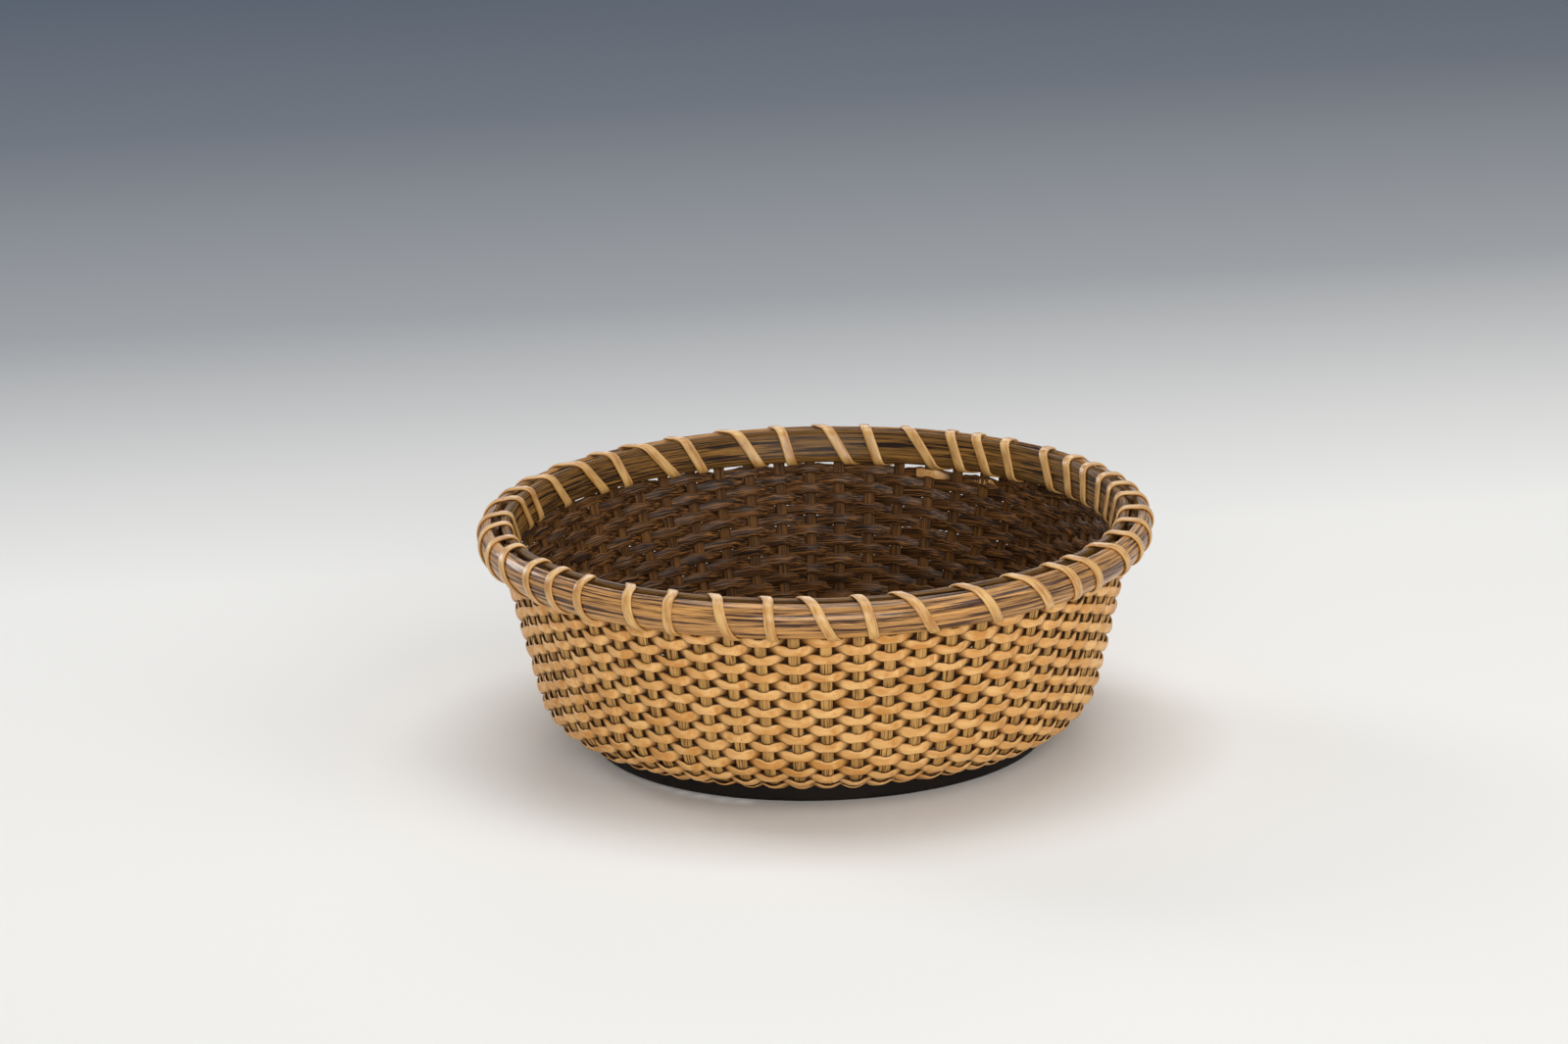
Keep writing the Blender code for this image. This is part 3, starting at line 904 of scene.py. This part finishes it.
DISH_DEPTH = 0.0005
DISH_MARGIN = 0.0060
EDGE_ROUND = 0.0008
EDGE_STEPS = 4
RING_COUNT = 6
RING_HALF_WIDTH = 0.0006
TURNED_STEPS = 180
MERGE_DISTANCE = 0.00001
SHARP_ANGLE = math.radians(35)


def rounded_edge():
    """Points round the quarter of the base's top edge, outwards and down."""
    turns = [step * math.pi / 2 / EDGE_STEPS for step in range(EDGE_STEPS + 1)]
    return [(BASE_RADIUS - EDGE_ROUND + EDGE_ROUND * math.sin(turn),
             BASE_THICKNESS - EDGE_ROUND + EDGE_ROUND * math.cos(turn)) for turn in turns]


def base_profile(settings):
    """The base's outline, from the middle of its top, down its grooved edge, to the underside."""
    floor = BASE_RADIUS - GROOVE_DEPTH
    groove_top = LOWER_LIP + GROOVE_HEIGHT
    dish = BASE_RADIUS - DISH_MARGIN
    level = BASE_THICKNESS - DISH_DEPTH
    profile = [(0, level)]
    for ring in range(1, RING_COUNT + 1):
        radius = (dish - DISH_DEPTH) * ring / (RING_COUNT + 1)
        profile += [(radius - RING_HALF_WIDTH, level), (radius, level - settings.ring_depth),
                    (radius + RING_HALF_WIDTH, level)]
    profile += [(dish - 2 * DISH_DEPTH, level), (dish, BASE_THICKNESS)] + rounded_edge()
    profile += [(BASE_RADIUS, groove_top), (floor, groove_top), (floor, LOWER_LIP),
                (BASE_RADIUS, LOWER_LIP)]
    foot = [(radius, BASE_THICKNESS - height) for radius, height in reversed(rounded_edge())]
    return profile + foot + [(0, 0)]


class BASKET_OT_base(PieceMaker, bpy.types.Operator):
    """Turn the base, with the groove that the staves stand in"""
    bl_idname = "basket.base"
    bl_label = "Base"

    def make(self, settings):
        profile = [(radius, 0, height) for radius, height in base_profile(settings)]
        mesh = bpy.data.meshes.new("base_disc")
        mesh.from_pydata(profile, [(index, index + 1) for index in range(len(profile) - 1)], [])
        piece = new_object("base_disc", mesh)
        screw = piece.modifiers.new("Turn", "SCREW")
        screw.steps = TURNED_STEPS
        screw.render_steps = TURNED_STEPS
        screw.use_merge_vertices = True
        screw.merge_threshold = MERGE_DISTANCE
        settled(piece)
        piece.data.materials.append(base_material(settings))
        piece.data.shade_smooth()
        piece.data.set_sharp_from_angle(angle=SHARP_ANGLE)
        hand_over(piece, "base_wood", "turned_base")


# Finishes

# How far apart two strands lie in the noise
STRAND_SHIFT = 37.7

# How much sooner the painted shade between the staves reaches the cane's edges than its middle, and
# how much later the upper edge than the lower one
SHADE_EDGE_LEAD = 0.42
SHADE_UPPER_LAG = 0.14

# The darker colour inside a stave, as a share of its pores' colour, and the light share in a hoop's wood
INSIDE_DARK_SHARE = 0.3
HOOP_LIGHT_SHARE = 0.55


def new_material(name):
    material = bpy.data.materials.new(name)
    material.use_nodes = True
    tree = material.node_tree
    return material, tree, tree.nodes["Principled BSDF"]


def read_attribute(tree, name, output="Fac"):
    node = add(tree, "ShaderNodeAttribute", attribute_type="GEOMETRY", attribute_name=name)
    return node.outputs[output]


def section_parts(tree):
    """A spot's place in its strip's section: sideways and outwards, each from -1 to 1."""
    return split(tree, read_attribute(tree, "section", "Vector"))[:2]


def noise_at(tree, spot, detail=2, roughness=0.5):
    inputs = {"Vector": spot, "Scale": 1, "Detail": detail, "Roughness": roughness}
    return add(tree, "ShaderNodeTexNoise", inputs).outputs["Fac"]


def strand_noise(tree, along_scale, around_scale, detail=2, roughness=0.5):
    """Noise that follows a strip, along it and round its section, and differs for each strand."""
    shift = compute(tree, "MULTIPLY", read_attribute(tree, "strand"), STRAND_SHIFT)
    along = compute(tree, "MULTIPLY_ADD", read_attribute(tree, "along"), along_scale, shift)
    around = [compute(tree, "MULTIPLY", part, around_scale) for part in section_parts(tree)]
    spot = add(tree, "ShaderNodeCombineXYZ", dict(enumerate((along, *around)))).outputs[0]
    return noise_at(tree, spot, detail, roughness)


def opaque(colour):
    """A colour, or a grey given as one number, with its alpha."""
    return (colour, colour, colour, 1) if isinstance(colour, (int, float)) else (*colour, 1)


def ramp(tree, factor, *stops):
    """A colour ramp through (place, colour) stops."""
    node = add(tree, "ShaderNodeValToRGB", {"Fac": factor})
    elements = node.color_ramp.elements
    while len(elements) < len(stops):
        elements.new(0.5)
    for element, (place_at, colour) in zip(elements, stops):
        element.position = place_at
        element.color = opaque(colour)
    return node.outputs["Color"]


def mix(tree, factor, first, second):
    """A blend of two colours, each of which may be a socket, a colour or a grey."""
    inputs = {"Factor": factor}
    for key, value in ((6, first), (7, second)):
        inputs[key] = value if isinstance(value, bpy.types.NodeSocket) else opaque(value)
    return add(tree, "ShaderNodeMix", inputs, data_type="RGBA", clamp_factor=True).outputs[2]


def lay_over(tree, base, colour, factor, *stops):
    """A base colour with another laid over it, as far as a ramp of the factor goes."""
    return mix(tree, ramp(tree, factor, *stops), base, colour)


def bump(tree, height, strength, distance):
    inputs = {"Height": height, "Strength": strength, "Distance": distance}
    return add(tree, "ShaderNodeBump", inputs).outputs["Normal"]


def as_share(tree, value):
    """A value from -1 to 1 as one from 0 to 1."""
    return compute(tree, "MULTIPLY_ADD", value, 0.5, 0.5)


def bark_share(tree):
    """1 on a strip's outer face and 0 on its inner one."""
    return ramp(tree, as_share(tree, section_parts(tree)[1]), (0.48, 0.0), (0.64, 1.0))


def recess_shade_share(tree):
    """How much painted shade lies on the cane, standing for the shade between two staves: first along
    its edges, the lower one before the upper, as it goes in between them, and then right across it."""
    depth = as_share(tree, read_attribute(tree, "depth"))
    upward = section_parts(tree)[0]
    edge = compute(tree, "POWER", compute(tree, "ABSOLUTE", upward), 2)
    depth = compute(tree, "MULTIPLY_ADD", edge, -SHADE_EDGE_LEAD, depth)
    depth = compute(tree, "MULTIPLY_ADD", upward, SHADE_UPPER_LAG, depth)
    return ramp(tree, depth, (0.15, 1.0), (0.34, 0.62), (0.56, 0.0))


def cane_material(settings):
    """Half-round cane: smooth and honey-coloured outside, stained and fibrous inside, with painted shade
    where it goes in between the staves.
    """
    material, tree, shader = new_material("woven_cane_finish")
    patches = strand_noise(tree, 260, 0.6, detail=3)
    lines = strand_noise(tree, 300, 7)
    cracks = strand_noise(tree, 2600, 1.5, detail=1)
    worn = strand_noise(tree, 110, 0.8)
    fibres = strand_noise(tree, 150, 8, detail=3, roughness=0.6)
    bark = lay_over(tree, settings.bark, settings.bark_dark, patches, (0.36, 0.0), (0.66, 1.0))
    bark = lay_over(tree, bark, settings.bark_dark, lines, (0.50, 0.0), (0.75, 0.55))
    cracked = compute(tree, "MULTIPLY", ramp(tree, cracks, (0.54, 0.0), (0.66, 0.8)),
                      ramp(tree, worn, (0.48, 0.0), (0.62, 1.0)))
    bark = mix(tree, cracked, bark, settings.bark_dark)
    # Painted shade where the cane goes in between the staves: darker colour there, and no coat.
    recess_shade = recess_shade_share(tree)
    bark = mix(tree, recess_shade, bark, settings.recess_shade)
    pith = lay_over(tree, settings.pith, settings.pith_light, fibres, (0.46, 0.0), (0.74, 0.9))
    outer = bark_share(tree)
    gloss = mix(tree, recess_shade, ramp(tree, patches, (0.3, 0.7), (0.7, 0.4)), 0)
    height = mix(tree, outer, fibres, ramp(tree, lines, (0.3, 0.35), (0.7, 0.65)))
    connect(tree, shader, {
        "Base Color": mix(tree, outer, pith, bark), "Normal": bump(tree, height, 0.4, 0.0001),
        "Coat Weight": mix(tree, outer, 0.2, gloss), "Coat Roughness": 0.3,
        "Roughness": 0.6, "Specular IOR Level": 0.12,
    })
    return material


def stave_material(settings):
    """Flat rod, cut along its grain, so that its pores show as dark lines. Its inner side is darker,
    and its top end, down in the gap between the hoops, is painted dark as shade there."""
    material, tree, shader = new_material("stave_rod_finish")
    pores = strand_noise(tree, 90, 4.2, roughness=0.6)
    patches = strand_noise(tree, 150, 0.8)
    wood = lay_over(tree, settings.colour, settings.pores, patches, (0.35, 0.0), (0.75, 0.6))
    wood = lay_over(tree, wood, settings.pores, pores, (0.39, 1.0), (0.48, 0.0))
    # The inner side is darker: the pores' colour, darkened, laid over the inside colour in patches and
    # lines.
    stain = tuple(INSIDE_DARK_SHARE * value for value in settings.pores)
    inside = lay_over(tree, settings.inside, stain, patches, (0.38, 0.0), (0.66, 0.7))
    inside = lay_over(tree, inside, stain, pores, (0.36, 1.0), (0.54, 0.0))
    wood = mix(tree, bark_share(tree), inside, wood)
    # Painted shade: the top end of the stave, down in the gap between the hoops, turns to the pores'
    # colour.
    top = compute(tree, "DIVIDE", read_attribute(tree, "along"), RIM_RUN + OUTER_HOOP_HEIGHT / 2)
    connect(tree, shader, {
        "Base Color": lay_over(tree, wood, settings.pores, top, (0.95, 0.0), (0.98, 1.0)),
        "Normal": bump(tree, pores, 0.7, 0.0002), "Roughness": 0.55, "Specular IOR Level": 0.16,
    })
    return material


def hoop_material(name, light, dark, fineness, coat):
    """A split rod whose dark streaks follow it round the rim, narrower if it is finer."""
    material, tree, shader = new_material(name)
    broad = strand_noise(tree, 30, 2.6, detail=3, roughness=0.6)
    streaks = strand_noise(tree, 55, 6.5 * fineness, detail=4, roughness=0.6)
    fine = strand_noise(tree, 110, 20, roughness=0.6)
    flecks = strand_noise(tree, 300, 12)
    middle = tuple(HOOP_LIGHT_SHARE * a + (1 - HOOP_LIGHT_SHARE) * b for a, b in zip(light, dark))
    colour = ramp(tree, broad, (0.34, middle), (0.60, light))
    colour = lay_over(tree, colour, dark, fine, (0.48, 0.0), (0.66, 0.75))
    colour = lay_over(tree, colour, dark, streaks, (0.42, 1.0), (0.53, 0.0))
    colour = lay_over(tree, colour, dark, flecks, (0.58, 0.0), (0.75, 0.4))
    ridges = compute(tree, "MULTIPLY_ADD", fine, 0.4, compute(tree, "MULTIPLY", streaks, 0.6))
    connect(tree, shader, {
        "Base Color": colour, "Normal": bump(tree, ridges, 0.8, 0.0004), "Roughness": 0.5,
        "Specular IOR Level": 0.12, "Coat Weight": coat, "Coat Roughness": 0.16,
    })
    return material


def lashing_material(settings):
    """Binding cane: pale and glossy, darker in patches, along fine lines and on its inner face."""
    material, tree, shader = new_material("lashing_finish")
    patches = strand_noise(tree, 210, 1.1, detail=4, roughness=0.6)
    lines = strand_noise(tree, 160, 8, detail=3)
    colour = lay_over(tree, settings.colour, settings.shade, patches, (0.42, 0.0), (0.64, 1.0))
    colour = lay_over(tree, colour, settings.shade, lines, (0.52, 0.0), (0.72, 0.7))
    connect(tree, shader, {
        "Base Color": mix(tree, bark_share(tree), settings.shade, colour),
        "Normal": bump(tree, lines, 0.4, 0.0001), "Roughness": 0.36,
        "Coat Weight": 0.2, "Coat Roughness": 0.2,
    })
    return material


def base_material(settings):
    """Turned wood under a dark stain, worn a little along its grain, and smoother on top."""
    material, tree, shader = new_material("base_finish")
    spot = add(tree, "ShaderNodeTexCoord").outputs["Object"]
    grain = add(tree, "ShaderNodeMapping", {"Vector": spot, "Scale": (60, 900, 400)}).outputs[0]
    grain = noise_at(tree, grain, detail=3)
    top = compute(tree, "GREATER_THAN", split(tree, spot)[2], BASE_THICKNESS - 2 * DISH_DEPTH)
    connect(tree, shader, {
        "Base Color": lay_over(tree, settings.colour, settings.worn, grain, (0.45, 0.0), (0.8, 0.6)),
        "Normal": bump(tree, grain, 0.35, 0.0002), "Specular IOR Level": 0.14,
        "Roughness": compute(tree, "MULTIPLY_ADD", top, -0.25, 0.55),
    })
    return material


# Stage

FLOOR_RADIUS = 6.0
FLOOR_SIDES = 64

# The floor's painted shade, where the light falls off, as (metres beyond the start, share of the far
# colour)
FLOOR_START = -0.20
FLOOR_SLANT = -0.15
FLOOR_SHADE_STOPS = ((0.12, 0.0), (0.33, 0.06), (0.41, 0.26), (0.55, 0.68), (0.76, 0.90), (1.0, 1.0))

# Each lamp's name, place, size, power in watts and colour
LAMPS = (
    ("overhead", (0.05, 0.20, 1.30), (1.0, 0.8), 8.4, (1.0, 0.98, 0.96)),
    ("front", (0.12, -1.70, 0.50), (1.5, 0.8), 18.0, (1.0, 0.98, 0.95)),
    ("right", (1.10, -0.50, 0.80), (1.1, 1.0), 5.0, (1.0, 0.98, 0.94)),
    ("left_back", (-1.10, 0.90, 0.60), (0.5, 0.6), 6.5, (0.96, 0.97, 1.0)),
    ("back", (0.05, 1.65, 0.75), (0.6, 0.25), 2.4, (1.0, 0.99, 0.98)),
)
LAMP_AIM = Vector((0, 0, 0.02))
SKY_LIGHT_COLOUR = (0.95, 0.97, 1.0)
CAMERA_AIM = Vector((-0.0060, 0, 0.0427))
CAMERA_DISTANCE = 1.5
CAMERA_ELEVATION = math.radians(15.9)
CAMERA_ROLL = math.radians(1.4)


def seen_share(tree):
    """1 for what the camera sees, straight or in a reflection, and 0 for what only lights."""
    path = add(tree, "ShaderNodeLightPath").outputs
    seen = compute(tree, "MAXIMUM", path["Is Camera Ray"], path["Is Glossy Ray"])
    return compute(tree, "MAXIMUM", seen, path["Is Transmission Ray"])


def floor_material(settings):
    """Pale paper, with the grey that the studio's light leaves on it further off, and sooner on the
    left, painted into its colour for what the camera sees.
    """
    material, tree, shader = new_material("stage_floor")
    sideways, away, _ = split(tree, add(tree, "ShaderNodeTexCoord").outputs["Object"])
    reach = compute(tree, "SUBTRACT", away, FLOOR_START)
    reach = compute(tree, "MULTIPLY_ADD", sideways, FLOOR_SLANT, reach)
    # Painted shade: the floor greys further off, and sooner on the left, as the light falls off.
    colour = lay_over(tree, settings.floor, settings.far, reach, *FLOOR_SHADE_STOPS)
    colour = mix(tree, seen_share(tree), settings.floor, colour)
    connect(tree, shader, {"Base Color": colour, "Roughness": 1.0, "Specular IOR Level": 0.0})
    return material


def make_lamp(name, place_at, size, power, colour):
    """A lamp that faces the middle of the basket."""
    lamp = bpy.data.lights.new(name, "AREA")
    lamp.shape = "RECTANGLE"
    lamp.size, lamp.size_y = size
    lamp.energy = power
    lamp.color = colour
    holder = new_object(name, lamp)
    holder.location = place_at
    holder.rotation_euler = (LAMP_AIM - Vector(place_at)).to_track_quat("-Z", "Y").to_euler()


def make_camera(settings):
    """A camera at the picture's angle, its frame taken as 1600 by 1065."""
    camera = bpy.data.cameras.new("camera")
    camera.sensor_width = 36
    camera.lens = settings.lens
    camera.clip_start = 0.01
    camera.clip_end = 50
    back = Vector((0, -math.cos(CAMERA_ELEVATION), math.sin(CAMERA_ELEVATION)))
    level_up = Vector((0, math.sin(CAMERA_ELEVATION), math.cos(CAMERA_ELEVATION)))
    right = Vector((1, 0, 0)) * math.cos(CAMERA_ROLL) - level_up * math.sin(CAMERA_ROLL)
    up = back.cross(right)
    holder = new_object("camera", camera)
    turned = Matrix((right, up, back)).transposed().to_4x4()
    holder.matrix_world = Matrix.Translation(CAMERA_AIM + back * CAMERA_DISTANCE) @ turned
    bpy.context.scene.camera = holder


def make_world(settings):
    world = bpy.data.worlds.new("studio")
    world.use_nodes = True
    tree = world.node_tree
    seen = seen_share(tree)
    connect(tree, tree.nodes["Background"], {
        "Color": mix(tree, seen, SKY_LIGHT_COLOUR, settings.sky),
        "Strength": compute(tree, "MULTIPLY_ADD", seen, 1 - settings.sky_light, settings.sky_light),
    })
    bpy.context.scene.world = world


class BASKET_OT_stage(PieceMaker, bpy.types.Operator):
    """Lay the floor and set the lamps, the world and the camera"""
    bl_idname = "basket.stage"
    bl_label = "Stage"

    def make(self, settings):
        mesh = bpy.data.meshes.new("stage_floor")
        disc = bmesh.new()
        bmesh.ops.create_circle(disc, cap_ends=True, segments=FLOOR_SIDES, radius=FLOOR_RADIUS)
        disc.to_mesh(mesh)
        disc.free()
        floor = new_object("stage_floor", mesh)
        mesh.materials.append(floor_material(settings))
        for name, place_at, size, power, colour in LAMPS:
            make_lamp(name, place_at, size, power * settings.lamp_light, colour)
        make_world(settings)
        make_camera(settings)
        bpy.context.scene.view_settings.view_transform = "Standard"


# The add-on

PIECES = (
    (BASKET_OT_base, BasketBaseSettings),
    (BASKET_OT_staves, BasketStaveSettings),
    (BASKET_OT_weave, BasketCaneSettings),
    (BASKET_OT_hoops, BasketHoopSettings),
    (BASKET_OT_lashing, BasketLashingSettings),
    (BASKET_OT_stage, BasketStageSettings),
)


class BASKET_PT_pieces(bpy.types.Panel):
    """The basket's pieces, each with its sizes and colours"""
    bl_idname = "BASKET_PT_pieces"
    bl_label = "Basket"
    bl_space_type = "VIEW_3D"
    bl_region_type = "UI"
    bl_category = "Basket"

    def draw(self, context):
        for operator, settings in PIECES:
            box = self.layout.box()
            box.operator(operator.bl_idname)
            for field in settings.__annotations__:
                box.prop(getattr(context.scene, scene_name(operator)), field)


def register():
    for operator, settings in PIECES:
        bpy.utils.register_class(settings)
        bpy.utils.register_class(operator)
        setattr(bpy.types.Scene, scene_name(operator), PointerProperty(type=settings))
    bpy.utils.register_class(BASKET_PT_pieces)


def unregister():
    bpy.utils.unregister_class(BASKET_PT_pieces)
    for operator, settings in reversed(PIECES):
        delattr(bpy.types.Scene, scene_name(operator))
        bpy.utils.unregister_class(operator)
        bpy.utils.unregister_class(settings)


def main():
    register()
    bpy.ops.basket.base()
    bpy.ops.basket.staves()
    bpy.ops.basket.weave()
    bpy.ops.basket.hoops()
    bpy.ops.basket.lashing()
    bpy.ops.basket.stage()


if __name__ == "__main__":
    main()
